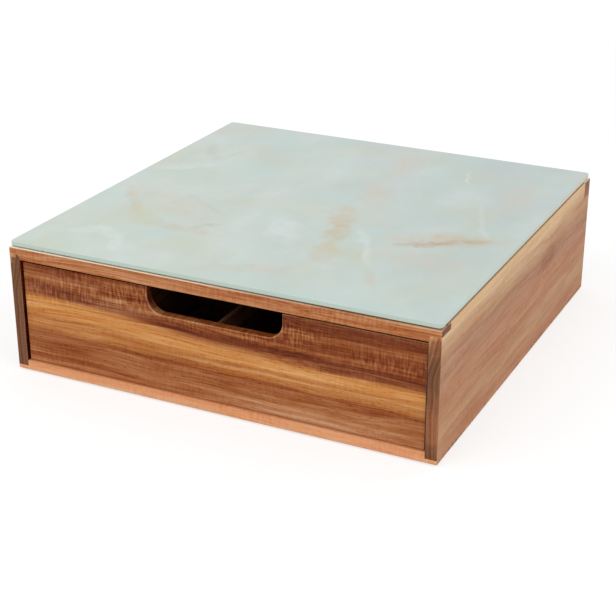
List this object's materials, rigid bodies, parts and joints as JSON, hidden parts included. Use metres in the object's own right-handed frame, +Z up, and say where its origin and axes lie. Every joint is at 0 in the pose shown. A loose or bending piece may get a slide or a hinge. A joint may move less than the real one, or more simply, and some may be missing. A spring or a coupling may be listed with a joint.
{
  "type": "tea bag drawer box",
  "caption": "Low square wooden box with a marble-look glass top and one inset drawer, opened by a finger slot, with a divided tray for tea bags.",
  "frame": {"origin": "centre of the footprint, on the surface that the feet stand on", "axes": "+Z up; the drawer opens towards -Y; +X to the right as seen from the front"},
  "size_m": [0.3, 0.3, 0.092],
  "materials": {
    "acacia_case": "clear satin oil on figured acacia",
    "acacia_rail": "clear satin oil on acacia",
    "acacia_floor": "clear satin oil on pale acacia sapwood",
    "acacia_front": "clear satin oil on figured acacia",
    "acacia_tray": "dark acacia heartwood, sanded and oiled",
    "printed_glass": "polished tempered glass with an opaque pale green marble print on its underside",
    "clear_silicone": "clear silicone bonding pad",
    "foot_rubber": "translucent anti-slip rubber"
  },
  "bodies": {
    "case": {"bottom_board": "acacia_floor", "left_side": "acacia_case", "right_side": "acacia_case", "front_rail": "acacia_rail", "rear_rail": "acacia_rail", "back_panel": "acacia_case", "glass_top": "printed_glass", "foot_front_left": "foot_rubber", "foot_front_right": "foot_rubber", "foot_rear_left": "foot_rubber", "foot_rear_right": "foot_rubber", "glass_pad_front_left": "clear_silicone", "glass_pad_front_middle": "clear_silicone", "glass_pad_front_right": "clear_silicone", "glass_pad_middle_left": "clear_silicone", "glass_pad_middle_right": "clear_silicone", "glass_pad_rear_left": "clear_silicone", "glass_pad_rear_middle": "clear_silicone", "glass_pad_rear_right": "clear_silicone"},
    "drawer": {"drawer_front": "acacia_front", "drawer_left_side": "acacia_tray", "drawer_right_side": "acacia_tray", "drawer_back": "acacia_tray", "drawer_floor": "acacia_tray", "divider_left": "acacia_tray", "divider_centre": "acacia_tray", "divider_right": "acacia_tray", "cross_divider_front": "acacia_tray", "cross_divider_rear": "acacia_tray"}
  },
  "joints": [
    {"name": "drawer_slide", "type": "slide", "parent": "case", "child": "drawer", "axis": [0, -1, 0], "range_m": [0, 0.24]}
  ]
}
